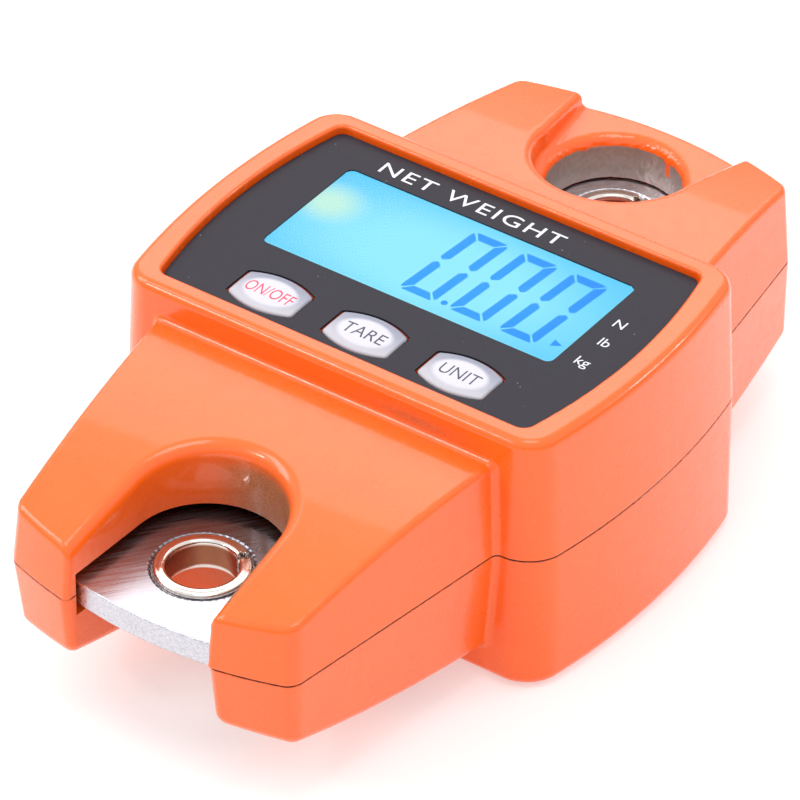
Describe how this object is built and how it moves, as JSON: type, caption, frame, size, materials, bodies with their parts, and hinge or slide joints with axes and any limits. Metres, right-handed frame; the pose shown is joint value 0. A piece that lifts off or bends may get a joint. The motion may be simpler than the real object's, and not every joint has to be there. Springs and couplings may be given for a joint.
{
  "type": "digital hanging scale",
  "caption": "Flat two-shell digital hanging scale with an eye at each end of a plate load cell, a lit display, three keys and a battery door; no hook or shackle fitted.",
  "frame": {"origin": "middle of the base: centre of the bounding box in X and Y, on the plane the back face rests on", "axes": "+Z out of the display, +Y along the body towards the shackle (upper) eye, +X to the right when the display is read"},
  "size_m": [0.0718, 0.12, 0.0388],
  "materials": {
    "orange_paint": "gloss powder coat with slight orange peel",
    "plate_aluminium": "milled, satin",
    "chrome": "bright plated",
    "screw_steel": "zinc plated",
    "overlay_black": "matt printed film",
    "window_clear": "clear film",
    "key_silver": "silver printed, satin",
    "lcd": "lit cyan display",
    "light_guide": "milky",
    "holder_white": "moulded",
    "elastomer": "striped silicone",
    "board_green": "solder mask",
    "black_plastic": "moulded, fine texture",
    "chip_black": "moulded",
    "gauge_foil": "foil on film",
    "cell_can": "printed sleeve",
    "contact_nickel": "nickel plated",
    "wire_red": "pvc",
    "wire_black": "pvc",
    "ribbon_grey": "pvc"
  },
  "bodies": {
    "housing": {"front_shell": "orange_paint", "back_shell": "orange_paint", "load_cell": "plate_aluminium", "shackle_eye_bush": "chrome", "hook_eye_bush": "chrome", "load_cell_screw_1": "screw_steel", "load_cell_screw_2": "screw_steel", "housing_screw_1": "screw_steel", "housing_screw_2": "screw_steel", "housing_screw_3": "screw_steel", "housing_screw_4": "screw_steel", "strain_gauge_1": "gauge_foil", "strain_gauge_2": "gauge_foil", "strain_gauge_3": "gauge_foil", "strain_gauge_4": "gauge_foil", "panel_overlay": "overlay_black", "lcd_window": "window_clear", "tact_switch_1": "chip_black", "tact_switch_2": "chip_black", "tact_switch_3": "chip_black", "lcd_glass": "lcd", "lcd_backlight": "light_guide", "lcd_holder": "holder_white", "lcd_connector": "elastomer", "main_pcb": "board_green", "pcb_screw_1": "screw_steel", "pcb_screw_2": "screw_steel", "pcb_screw_3": "screw_steel", "pcb_screw_4": "screw_steel", "controller_chip": "chip_black", "adc_chip": "chip_black", "battery_tray": "black_plastic", "battery_1": "cell_can", "battery_spring_1": "contact_nickel", "battery_2": "cell_can", "battery_spring_2": "contact_nickel", "battery_3": "cell_can", "battery_spring_3": "contact_nickel", "contact_left_pair": "contact_nickel", "contact_left_single": "contact_nickel", "contact_right_single": "contact_nickel", "contact_right_pair": "contact_nickel", "sensor_cable": "ribbon_grey", "battery_lead_red": "wire_red", "battery_lead_black": "wire_black"},
    "on_off_button": {"key_on_off": "key_silver", "switch_plunger_1": "black_plastic"},
    "tare_button": {"key_tare": "key_silver", "switch_plunger_2": "black_plastic"},
    "unit_button": {"key_unit": "key_silver", "switch_plunger_3": "black_plastic"},
    "battery_door": {"battery_cover": "black_plastic"}
  },
  "joints": [
    {"name": "on_off_press", "type": "slide", "parent": "housing", "child": "on_off_button", "axis": [0, 0, -1], "range_m": [0, 0.0004], "stiffness_N_per_m": 1500},
    {"name": "tare_press", "type": "slide", "parent": "housing", "child": "tare_button", "axis": [0, 0, -1], "range_m": [0, 0.0004], "stiffness_N_per_m": 1500},
    {"name": "unit_press", "type": "slide", "parent": "housing", "child": "unit_button", "axis": [0, 0, -1], "range_m": [0, 0.0004], "stiffness_N_per_m": 1500},
    {"name": "battery_door_hinge", "type": "hinge", "parent": "housing", "child": "battery_door", "pos_m": [0, -0.01235, 0], "axis": [-1, 0, 0], "range_deg": [0, 75]}
  ]
}
